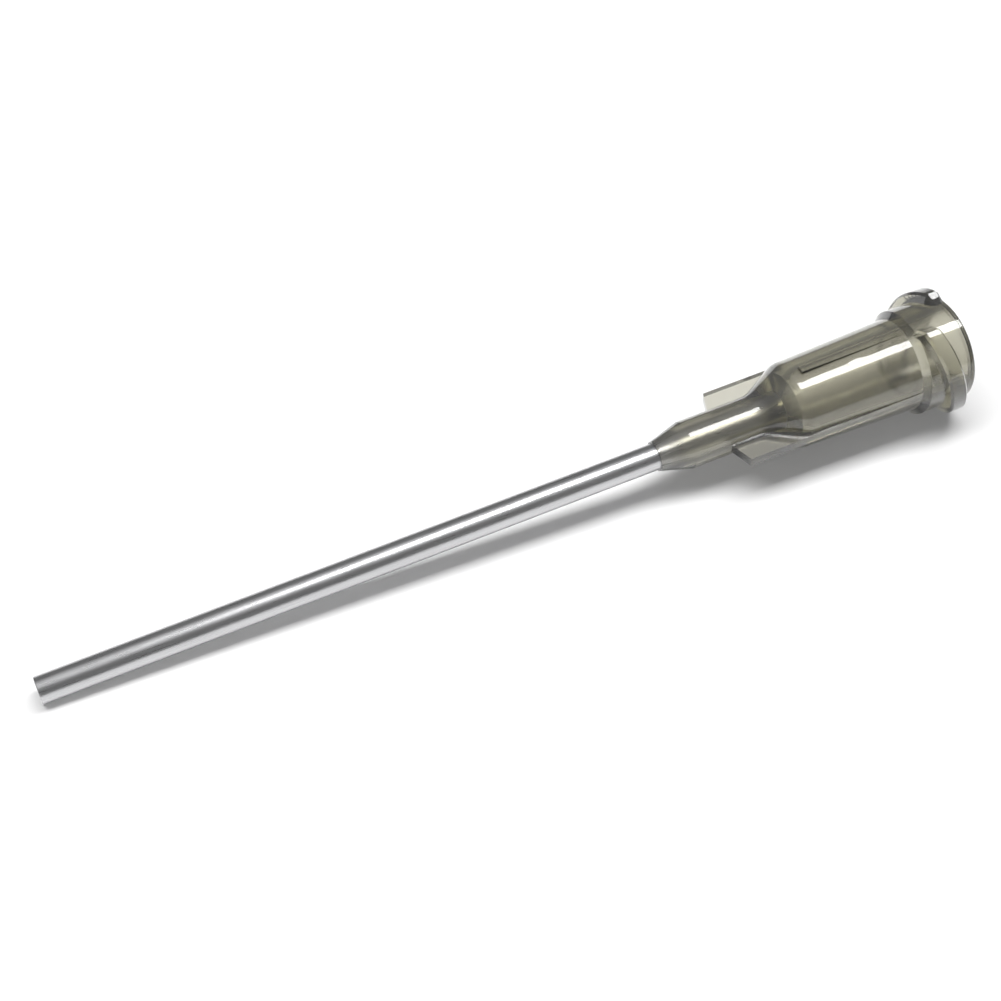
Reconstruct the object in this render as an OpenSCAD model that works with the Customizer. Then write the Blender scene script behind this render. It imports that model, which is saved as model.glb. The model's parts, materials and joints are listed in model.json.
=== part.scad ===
// Dispensing needle tip: a blunt steel tube bonded into a moulded luer-lock hub.
// The hub's own axis is Z here: its front face is z = 0, the tube runs to -Z and the
// mouth is at +Z. at_rest() then lays the finished parts on the plane z = 0.

/* [Steel tube] */
// Outside diameter of the tube, 16 gauge
tube_od = 1.65; // [1.2:0.05:2]
// Bore of the tube
tube_id = 1.19; // [0.6:0.01:1.4]
// Length of tube in front of the hub
tube_free = 38.1; // [12:0.1:52]

/* [Nose] */
// Diameter of the nose around the tube
nose_d = 3; // [2.6:0.1:3.6]
// Diameter of the nose's front edge, where the tube comes out
nose_front_d = 1.86; // [1.8:0.02:2.4]
// Length of the cone at the nose's front
nose_cone = 2; // [1:0.1:3.5]
// Distance from the front face to the start of the flare
nose_len = 6.3; // [5:0.1:7]

/* [Barrel] */
// Barrel diameter behind the shoulder
barrel_front_d = 5.48; // [5.2:0.02:5.8]
// Barrel diameter at the collar
barrel_back_d = 5.92; // [5.6:0.02:6.2]
// Distance from the front face to the back of the shoulder
shoulder_z = 9.4; // [9:0.1:10.4]
// Slope of the flare between nose and barrel
flare_angle = 26; // [22:1:36]
// Radius of the hollow where the flare leaves the nose
flare_r = 2; // [0.5:0.1:2.6]
// Radius of the rounded shoulder
shoulder_r = 1.2; // [0.3:0.1:1.6]

/* [Wings and ribs] */
// Diameter across the wings and the ribs
wing_d = 5.94; // [5.8:0.02:7]
// Thickness of a wing
wing_t = 0.6; // [0.4:0.05:1]
// Distance from the front face to a wing's outer front corner
wing_z = 4.9; // [3.2:0.1:7]
// How far a wing's front edge leans forward to its root
wing_lean = 0.6; // [0:0.1:1]
// Thickness of a rib
rib_t = 0.5; // [0.3:0.05:0.8]
// Distance from the front face to a rib's outer front corner
rib_z = 9.7; // [9.4:0.1:12]

/* [Collar] */
// Length of the hub from its front face to its mouth
hub_len = 20.4; // [19:0.1:24]
// Diameter of the collar
collar_d = 6.72; // [6.4:0.02:7]
// Length of the collar behind its front slope
collar_len = 3.15; // [2.9:0.05:3.6]
// Length of the slope from the barrel up to the collar
collar_slope = 0.4; // [0.2:0.05:0.8]
// Rounding of the collar's edge at the mouth
collar_round = 0.2; // [0.05:0.05:0.4]

/* [Luer-lock lugs] */
// Diameter over the two lugs
lug_d = 7.9; // [7.6:0.02:8.1]
// Width of a lug along the hub, at its crest
lug_w = 1.15; // [0.8:0.05:1.4]
// Advance of the two-start thread in one turn
lug_lead = 5; // [4:0.1:6]
// Width of a lug's sloping flank
lug_flank = 0.3; // [0.1:0.05:0.5]
// Angle from the rib plane to a lug's full height
lug_gap = 20; // [12:1:32]
// Angle over which a lug's end runs down to the collar
lug_ramp = 14; // [8:1:16]
// Distance from the mouth back to the crest's far edge
lug_setback = 0.2; // [0.1:0.05:0.5]
// Rounding of the lug's crest edges
lug_round = 0.15; // [0.05:0.05:0.25]

/* [Luer socket] */
// Diameter of the socket at its mouth
socket_d = 4.3; // [4.2:0.01:4.4]
// Taper of the socket, as a percentage of its length
socket_taper = 6; // [5:0.1:7]
// Depth of the tapered socket
socket_depth = 11.3; // [10:0.1:11.8]
// Chamfer round the mouth
mouth_chamfer = 0.15; // [0:0.05:0.3]
// Length of the funnel from the socket down to the tube
funnel = 0.5; // [0.3:0.05:0.8]

/* [Hidden] */
$fn = 96;
arc_steps = 8;
lug_step = 5;
sink = 0.3;
eps = 0.01;
smoke = [0.5, 0.49, 0.41, 0.6];
steel = [0.78, 0.79, 0.8];

nose_r = nose_d / 2;
wing_r = wing_d / 2;
collar_r = collar_d / 2;
lug_r = lug_d / 2;
tube_r = tube_od / 2;

collar_z = hub_len - collar_len;
slope_z = collar_z - collar_slope;
socket_z = hub_len - socket_depth;
socket_floor_d = socket_d - socket_taper / 100 * socket_depth;
tube_held = socket_z - funnel;
barrel_angle = atan((barrel_back_d - barrel_front_d) / 2 / (slope_z - shoulder_z));

// A lug rises with the thread from the collar's front, and the mouth stops its far edge.
lug_z = collar_z + lug_flank / 2;
lug_end_z = lug_z + lug_lead * (180 - 2 * lug_gap) / 360;
lug_stop = hub_len - lug_setback;

// The tip lies on three points: the tube's end and the ends of the two lugs either side
// of the lower rib. The lug that starts there is nearer the tip, so the hub rolls a
// little towards the lug that ends there.
start_reach = tube_free + lug_z;
end_reach = tube_free + lug_end_z;
rest_roll = atan((1 - tube_r / (lug_r * cos(lug_gap))) / tan(lug_gap)
    * (end_reach - start_reach) / (end_reach + start_reach));
rest_tilt = atan((lug_r * cos(lug_gap + rest_roll) - tube_r) / start_reach);
tip_x = -tube_free * cos(rest_tilt) - tube_r * sin(rest_tilt);
mouth_x = collar_round + (hub_len - collar_round) * cos(rest_tilt)
    + (collar_r - collar_round) * sin(rest_tilt);
front_height = tube_free * sin(rest_tilt) + tube_r * cos(rest_tilt);

// Points of an arc in a profile of [radius, z], from one angle to another.
function arc(centre, r, from, to) = [
    for (i = [0 : arc_steps])
        let (a = from + (to - from) * i / arc_steps)
            centre + r * [cos(a), sin(a)]
];

// Centre of the round that blends the flare into the nose.
function hollow_centre() = [nose_r + flare_r, nose_len];

// Centre of the round that blends the flare into the barrel.
function shoulder_centre() =
    [barrel_front_d / 2, shoulder_z]
    - shoulder_r * [cos(barrel_angle), -sin(barrel_angle)];

// How far along the thread an angle lies: 0 at the lug's ends, 1 at its full height.
function lug_rise(a) =
    min(1, (a - lug_gap + lug_ramp) / lug_ramp, (180 - lug_gap + lug_ramp - a) / lug_ramp);

// Section of a lug at an angle from the rib plane, as [radius, z] points.
function lug_section(a) =
    let (
        root = collar_r - sink,
        top = root + (lug_r - root) * max(lug_rise(a), 0.1),
        round = min(lug_round, (top - root) / 2),
        front = lug_z + lug_lead * (a - lug_gap) / 360,
        back = min(front + lug_w, lug_stop)
    )
    [
        [root, front - lug_flank],
        [top - round, front],
        [top, front + round],
        [top, back - round],
        [top - round, back],
        [root, min(back + lug_flank, hub_len - collar_round)]
    ];

module at_rest() {
    translate([-(tip_x + mouth_x) / 2, 0, front_height])
        rotate([0, 90 - rest_tilt, 0])
            rotate([0, 0, rest_roll])
                children();
}

// Outside of the turned form: nose, flare, barrel and collar.
module hub_body() {
    outline = concat(
        [[0, 0], [nose_front_d / 2, 0], [nose_r, nose_cone]],
        arc(hollow_centre(), flare_r, 180, 180 - flare_angle),
        arc(shoulder_centre(), shoulder_r, -flare_angle, -barrel_angle),
        [[barrel_back_d / 2, slope_z], [collar_r, collar_z]],
        arc([collar_r, hub_len] - collar_round * [1, 1], collar_round, 0, 90),
        [[0, hub_len]]
    );
    rotate_extrude() polygon(outline);
}

// A plate through the axis: its two edges are a pair of wings or ribs.
module fin_pair(thickness, front, lean) {
    root = nose_r - sink;
    outline = [
        [-wing_r, collar_z],
        [-wing_r, front],
        [-root, front - lean],
        [root, front - lean],
        [wing_r, front],
        [wing_r, collar_z]
    ];
    rotate([90, 0, 0])
        linear_extrude(thickness, center = true)
            polygon(outline);
}

// One helical lug, as a skin over its sections.
module lug() {
    from = lug_gap - lug_ramp;
    steps = round((180 - 2 * from) / lug_step);
    sections = [
        for (i = [0 : steps])
            let (a = from + (180 - 2 * from) * i / steps)
                [for (p = lug_section(a)) [p[0] * cos(a), p[0] * sin(a), p[1]]]
    ];
    n = len(sections[0]);
    side_faces = [
        for (i = [0 : steps - 1], k = [0 : n - 1])
            let (j = i * n, m = (k + 1) % n)
                each [[j + k, j + m, j + n + m], [j + k, j + n + m, j + n + k]]
    ];
    end_faces = [[for (k = [n - 1 : -1 : 0]) k], [for (k = [0 : n - 1]) steps * n + k]];
    polyhedron([for (s = sections) each s], concat(side_faces, end_faces), convexity = 4);
}

// The way through: tapered luer socket, its funnel and the seat of the tube.
module hub_passage() {
    translate([0, 0, socket_z])
        cylinder(d1 = socket_floor_d, d2 = socket_d, h = socket_depth);
    translate([0, 0, hub_len - mouth_chamfer])
        cylinder(d1 = socket_d, d2 = socket_d + 2 * mouth_chamfer + eps, h = mouth_chamfer + eps);
    translate([0, 0, tube_held])
        cylinder(d1 = tube_od, d2 = socket_floor_d, h = funnel);
    translate([0, 0, -eps])
        cylinder(d = tube_od, h = tube_held + 2 * eps);
}

module hub() {
    color(smoke) at_rest() difference() {
        union() {
            hub_body();
            rotate([0, 0, 90]) fin_pair(wing_t, wing_z, wing_lean);
            fin_pair(rib_t, rib_z, 0);
            for (start = [0, 180]) rotate([0, 0, start]) lug();
        }
        hub_passage();
    }
}

module tube() {
    color(steel) at_rest() translate([0, 0, -tube_free]) difference() {
        cylinder(d = tube_od, h = tube_free + tube_held);
        translate([0, 0, -eps])
            cylinder(d = tube_id, h = tube_free + tube_held + 2 * eps);
    }
}

hub();
tube();
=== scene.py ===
import json
import math

import bpy
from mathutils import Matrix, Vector


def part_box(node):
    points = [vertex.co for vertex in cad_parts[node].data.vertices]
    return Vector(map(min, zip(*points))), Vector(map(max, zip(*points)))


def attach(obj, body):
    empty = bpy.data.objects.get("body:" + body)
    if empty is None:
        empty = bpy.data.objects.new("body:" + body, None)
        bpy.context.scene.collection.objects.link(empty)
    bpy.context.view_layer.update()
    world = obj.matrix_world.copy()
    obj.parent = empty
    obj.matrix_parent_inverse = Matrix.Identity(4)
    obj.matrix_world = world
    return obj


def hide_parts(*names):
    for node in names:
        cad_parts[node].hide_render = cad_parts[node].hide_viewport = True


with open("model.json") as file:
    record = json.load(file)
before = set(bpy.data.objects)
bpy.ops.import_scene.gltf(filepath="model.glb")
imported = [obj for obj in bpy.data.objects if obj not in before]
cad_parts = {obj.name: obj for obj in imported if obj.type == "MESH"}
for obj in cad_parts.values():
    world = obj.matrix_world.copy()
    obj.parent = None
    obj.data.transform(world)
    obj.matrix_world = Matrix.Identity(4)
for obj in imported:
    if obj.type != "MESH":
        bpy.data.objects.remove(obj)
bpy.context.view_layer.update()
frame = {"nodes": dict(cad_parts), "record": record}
MM = 0.001


class Socket:
    """A shader value. Sums and products of it add the Math nodes that work them out."""

    def __init__(self, tree, socket):
        self.tree, self.socket = tree, socket

    def _math(self, operation, first, second):
        return self.tree.add("ShaderNodeMath", {"operation": operation}, {0: first, 1: second})

    def __add__(self, other):
        return self._math("ADD", self, other)

    def __radd__(self, other):
        return self._math("ADD", other, self)

    def __rsub__(self, other):
        return self._math("SUBTRACT", other, self)

    def __mul__(self, other):
        return self._math("MULTIPLY", self, other)

    def __gt__(self, other):
        return self._math("GREATER_THAN", self, other)

    def __lt__(self, other):
        return self._math("LESS_THAN", self, other)


class Shader:
    """The node tree of a material, a lamp or the world."""

    def __init__(self, owner):
        owner.use_nodes = True
        self.nodes, self.links = owner.node_tree.nodes, owner.node_tree.links
        self.nodes.clear()

    def add(self, kind, settings=None, sockets=None, output=0):
        """Adds a node: its settings first, then its sockets' values or links."""
        node = self.nodes.new(kind)
        for key, value in (settings or {}).items():
            if key == "stops":
                self._set_stops(node.color_ramp, value)
            else:
                setattr(node, key, value)
        for key, value in (sockets or {}).items():
            if isinstance(value, Socket):
                self.links.new(value.socket, node.inputs[key])
            else:
                node.inputs[key].default_value = value
        return Socket(self, node.outputs[output]) if len(node.outputs) else node

    @staticmethod
    def _set_stops(ramp, stops):
        while len(ramp.elements) < len(stops):
            ramp.elements.new(1)
        for element, (position, colour) in zip(ramp.elements, stops):
            element.position, element.color = position, colour


def grey(value):
    return (value, value, value, 1)


def put_in_scene(name, data):
    thing = bpy.data.objects.new(name, data)
    bpy.context.scene.collection.objects.link(thing)
    return thing


# ---------------------------------------------------------------- camera

CAMERA_AIM = Vector((-1.09, 0.61, 2.78)) * MM
CAMERA_FROM = Vector((-33.03, -68.10, 83.75)) * MM
FOCAL_LENGTH = 68.33
SENSOR_WIDTH = 36
CLIP_NEAR, CLIP_FAR = 0.005, 20


def place_camera():
    data = bpy.data.cameras.new("studio_camera")
    data.lens, data.sensor_width = FOCAL_LENGTH, SENSOR_WIDTH
    data.clip_start, data.clip_end = CLIP_NEAR, CLIP_FAR
    camera = put_in_scene("studio_camera", data)
    camera.location = CAMERA_FROM
    camera.rotation_mode = "QUATERNION"
    camera.rotation_quaternion = (CAMERA_AIM - CAMERA_FROM).to_track_quat("-Z", "Y")
    bpy.context.scene.camera = camera


# ---------------------------------------------------------------- the tip's own axis

MOUNTS = {mount["name"]: mount for mount in frame["record"]["mounts"]}
SOCKET, BORE = MOUNTS["luer_socket"], MOUNTS["tube_bore"]
AXIS = Vector(SOCKET["axis"])
TILT = math.atan2(AXIS.z, AXIS.x)
SIDE = Vector((0, 1, 0))
UP = AXIS.cross(SIDE)
MOUTH = Vector(SOCKET["pos_m"])
SOCKET_FLOOR = MOUTH.dot(AXIS) - SOCKET["dims"]["length_mm"] * MM


def along_tip(shader, lengthwise=1.0, crosswise=1.0):
    """Coordinates with X along the tip's axis, which is their line Y = Z = 0."""
    place = shader.add("ShaderNodeTexCoord", output="Object")
    return shader.add("ShaderNodeMapping", None, {
        "Vector": place,
        "Location": (0, 0, -MOUTH.dot(UP) * crosswise),
        "Rotation": (0, TILT, 0),
        "Scale": (lengthwise, crosswise, crosswise),
    })


# ---------------------------------------------------------------- steel tube

TUBE_SIDES = 160
EDGE_ROUND = 0.05 * MM
# The film between tube and seat, and how far inside the nose it starts.
BOND = 0.01 * MM
BOND_START = 0.2 * MM
CREASE = math.radians(40)


def quarter_round(centre, radius, start, steps=5):
    """Points of a quarter turn in a profile of (distance along the tube, radius)."""
    angles = [math.radians(start + 90 * step / steps) for step in range(steps + 1)]
    return [(centre[0] + radius * math.cos(a), centre[1] + radius * math.sin(a)) for a in angles]


def draw_tube():
    """The tube, turned from its wall's section: its cut end is deburred inside and out, and
    in the hub it fills the bond, so that no gap shows between steel and plastic."""
    bore, outside = BORE["dims"]["r_mm"] * MM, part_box("tube")[1][1]
    length = BORE["dims"]["length_mm"] * MM
    tip = Vector(BORE["pos_m"]) - AXIS * length / 2
    bonded = (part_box("hub")[0][0] - tip.x) / AXIS.x + BOND_START
    section = (
        quarter_round((EDGE_ROUND, bore + EDGE_ROUND), EDGE_ROUND, 180)[::-1]
        + quarter_round((EDGE_ROUND, outside - EDGE_ROUND), EDGE_ROUND, 90)[::-1]
        + [(bonded, outside), (bonded, outside + BOND), (length, outside + BOND), (length, bore)]
    )
    points, faces = [], []
    for side in range(TUBE_SIDES):
        turn = 2 * math.pi * side / TUBE_SIDES
        spoke = SIDE * math.cos(turn) + UP * math.sin(turn)
        points += [tip + AXIS * along + spoke * radius for along, radius in section]
    count = len(section)
    for side in range(TUBE_SIDES):
        here, there = side * count, (side + 1) % TUBE_SIDES * count
        for k in range(count):
            m = (k + 1) % count
            faces.append((here + k, there + k, there + m, here + m))
    mesh = bpy.data.meshes.new("steel_tube")
    mesh.from_pydata(points, [], faces)
    mesh.shade_smooth()
    mesh.set_sharp_from_angle(angle=CREASE)
    tube = put_in_scene("steel_tube", mesh)
    mesh.materials.append(drawn_steel())
    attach(tube, "root")
    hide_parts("tube")


# ---------------------------------------------------------------- finishes

# What the core pin shaped: all within this radius, from the funnel to the mouth.
SOCKET_WALL = 2.35 * MM
FUNNEL = 0.7 * MM
CAVITY_ROUGHNESS = 0.03
CORE_ROUGHNESS = 0.2
DIE_ROUGHNESS = 0.21
# The Mix node has its colours at these places, since their names also stand for numbers.
MIX_AMOUNT, MIX_LOW, MIX_HIGH, MIX_COLOUR = 0, 6, 7, 2


def noise(shader, place, detail):
    return shader.add("ShaderNodeTexNoise", None, {
        "Vector": place,
        "Scale": 1.0,
        "Detail": detail,
    })


def blend(shader, amount, low, high):
    sockets = {MIX_AMOUNT: amount, MIX_LOW: low, MIX_HIGH: high}
    return shader.add("ShaderNodeMix", {"data_type": "RGBA"}, sockets, MIX_COLOUR)


def bump(shader, height, strength):
    return shader.add("ShaderNodeBump", None, {
        "Height": height,
        "Strength": strength,
        "Distance": 0.003 * MM,
    })


def smoke_polypropylene():
    """Smoke-tinted plastic: glossy where the cavity shaped it, matt where the core did."""
    material = bpy.data.materials.new("smoke_polypropylene")
    shader = Shader(material)
    place = along_tip(shader)
    along = shader.add("ShaderNodeSeparateXYZ", None, {0: place}, "X")
    across = shader.add("ShaderNodeVectorMath", {"operation": "MULTIPLY"}, {0: place, 1: (0, 1, 1)})
    radius = shader.add("ShaderNodeVectorMath", {"operation": "LENGTH"}, {0: across}, "Value")
    cored = (radius < SOCKET_WALL) * (along > SOCKET_FLOOR - FUNNEL)
    flow = noise(shader, along_tip(shader, lengthwise=150, crosswise=500), detail=3.0)
    plastic = shader.add("ShaderNodeBsdfPrincipled", None, {
        "Base Color": blend(shader, flow, (0.93, 0.92, 0.88, 1), (0.98, 0.97, 0.94, 1)),
        "Roughness": CAVITY_ROUGHNESS + flow * 0.04 + cored * CORE_ROUGHNESS,
        "IOR": 1.49,
        "Transmission Weight": 0.95,
        "Coat Weight": 1.0,
        "Coat Roughness": 0.04,
        "Coat IOR": 1.55,
        "Normal": bump(shader, flow, strength=0.05),
    })
    tint = shader.add("ShaderNodeVolumeAbsorption", None, {
        "Color": (0.62, 0.605, 0.49, 1),
        "Density": 1350.0,
    })
    shader.add("ShaderNodeOutputMaterial", None, {"Surface": plastic, "Volume": tint})
    return material


def drawn_steel():
    """Drawn stainless steel: the die leaves faint lines along the tube."""
    material = bpy.data.materials.new("drawn_steel")
    shader = Shader(material)
    lines = noise(shader, along_tip(shader, lengthwise=60, crosswise=14000), detail=2.0)
    patches = noise(shader, along_tip(shader, lengthwise=400, crosswise=1500), detail=3.0)
    steel = shader.add("ShaderNodeBsdfPrincipled", None, {
        "Base Color": blend(shader, lines, (0.50, 0.50, 0.51, 1), (0.66, 0.66, 0.67, 1)),
        "Metallic": 1.0,
        "Roughness": DIE_ROUGHNESS + lines * 0.12 + patches * 0.05,
        "Normal": bump(shader, lines, strength=0.35),
    })
    shader.add("ShaderNodeOutputMaterial", None, {"Surface": steel})
    return material


# ---------------------------------------------------------------- studio

FLOOR_SIDE = 1.5
PAPER = 0.93
# How white the paper looks: this much up to the first distance, and fully from the second.
NEAR_GLOW = 0.15
GLOW_FROM, GLOW_FULL = 0.04, 0.15
# The strip hangs lower, because a lamp hides another in its own plane even from gloss.
KEY_HEIGHT = 0.3
STRIP_HEIGHT = 0.28
# The room's grey by the height of the direction looked in, and how bright it is.
ROOM_GREYS = [(0.0, grey(0.14)), (0.78, grey(0.16)), (0.95, grey(0.6)), (1.0, grey(0.7))]
ROOM_LIGHT = 0.45
ROOM_SHINE = 0.8
WHITE_THROUGH = 0.1


def lay_floor():
    """A pale paper floor, plain white away from the part, seen direct or through the hub."""
    side = FLOOR_SIDE
    mesh = bpy.data.meshes.new("floor")
    corners = [(-side, -side, 0), (side, -side, 0), (side, side, 0), (-side, side, 0)]
    mesh.from_pydata(corners, [], [(0, 1, 2, 3)])
    floor = put_in_scene("floor", mesh)
    material = bpy.data.materials.new("white_paper")
    shader = Shader(material)
    paper = shader.add("ShaderNodeBsdfDiffuse", None, {"Color": grey(PAPER)})
    glow = shader.add("ShaderNodeEmission", None, {"Color": grey(1.0), "Strength": 1.0})
    camera, glossy, through = (
        shader.add("ShaderNodeLightPath", output=f"Is {kind} Ray")
        for kind in ("Camera", "Glossy", "Transmission")
    )
    place = shader.add("ShaderNodeTexCoord", output="Object")
    distance = shader.add("ShaderNodeVectorMath", {"operation": "LENGTH"}, {0: place}, "Value")
    far = shader.add("ShaderNodeMapRange", {"interpolation_type": "SMOOTHSTEP"}, {
        "Value": distance,
        "From Min": GLOW_FROM,
        "From Max": GLOW_FULL,
        "To Min": NEAR_GLOW,
        "To Max": 1.0,
    })
    seen = (camera + through) * far + glossy * NEAR_GLOW
    surface = shader.add("ShaderNodeMixShader", None, {0: seen, 1: paper, 2: glow})
    shader.add("ShaderNodeOutputMaterial", None, {"Surface": surface})
    mesh.materials.append(material)


def hang_softbox(name, place, size, power):
    data = bpy.data.lights.new(name, "AREA")
    data.shape, data.size, data.size_y = "RECTANGLE", size[0], size[1]
    data.energy = power
    lamp = put_in_scene(name, data)
    lamp.location = place
    return lamp


def first_look(shader):
    """One for what is seen direct, in gloss or through the hub, and none for lit paper."""
    bounces = shader.add("ShaderNodeLightPath", output="Diffuse Depth")
    return 1 - shader.add("ShaderNodeMath", {"operation": "MINIMUM"}, {0: bounces, 1: 1.0})


def hang_lamps():
    """A broad lamp behind the part throws the shadow, and a strip above draws the shine."""
    key = hang_softbox("key_softbox", place=(0, 0.035, KEY_HEIGHT), size=(0.5, 0.13), power=1.5)
    key.visible_glossy = False
    key.visible_transmission = False
    strip = hang_softbox(
        "shine_strip", place=(0.19, -0.02, STRIP_HEIGHT), size=(0.38, 0.085), power=0.85
    )
    strip.visible_diffuse = False
    shader = Shader(strip.data)
    shine = shader.add("ShaderNodeEmission", None, {"Strength": first_look(shader)})
    shader.add("ShaderNodeOutputLight", None, {"Surface": shine})


def light_the_room():
    """A dim room with a pale ceiling: the eye sees plain white beyond the floor."""
    world = bpy.data.worlds.new("room")
    bpy.context.scene.world = world
    shader = Shader(world)
    direction = shader.add("ShaderNodeTexCoord")
    height = shader.add("ShaderNodeSeparateXYZ", None, {0: direction}, "Z")
    room = shader.add("ShaderNodeValToRGB", {"stops": ROOM_GREYS}, {0: height})
    first = first_look(shader)
    strength = ROOM_LIGHT + first * ROOM_SHINE
    background = shader.add("ShaderNodeBackground", None, {"Color": room, "Strength": strength})
    white = shader.add("ShaderNodeBackground", None, {"Color": grey(1.0), "Strength": 1.0})
    through = shader.add("ShaderNodeLightPath", output="Is Transmission Ray") * first
    seen = shader.add("ShaderNodeLightPath", output="Is Camera Ray") + through * WHITE_THROUGH
    surface = shader.add("ShaderNodeMixShader", None, {0: seen, 1: background, 2: white})
    shader.add("ShaderNodeOutputWorld", None, {"Surface": surface})


bpy.context.scene.view_settings.view_transform = "Standard"
place_camera()
lay_floor()
light_the_room()
hang_lamps()

draw_tube()
hub_plastic = smoke_polypropylene()
for slot in frame["nodes"]["hub"].material_slots:
    slot.material = hub_plastic
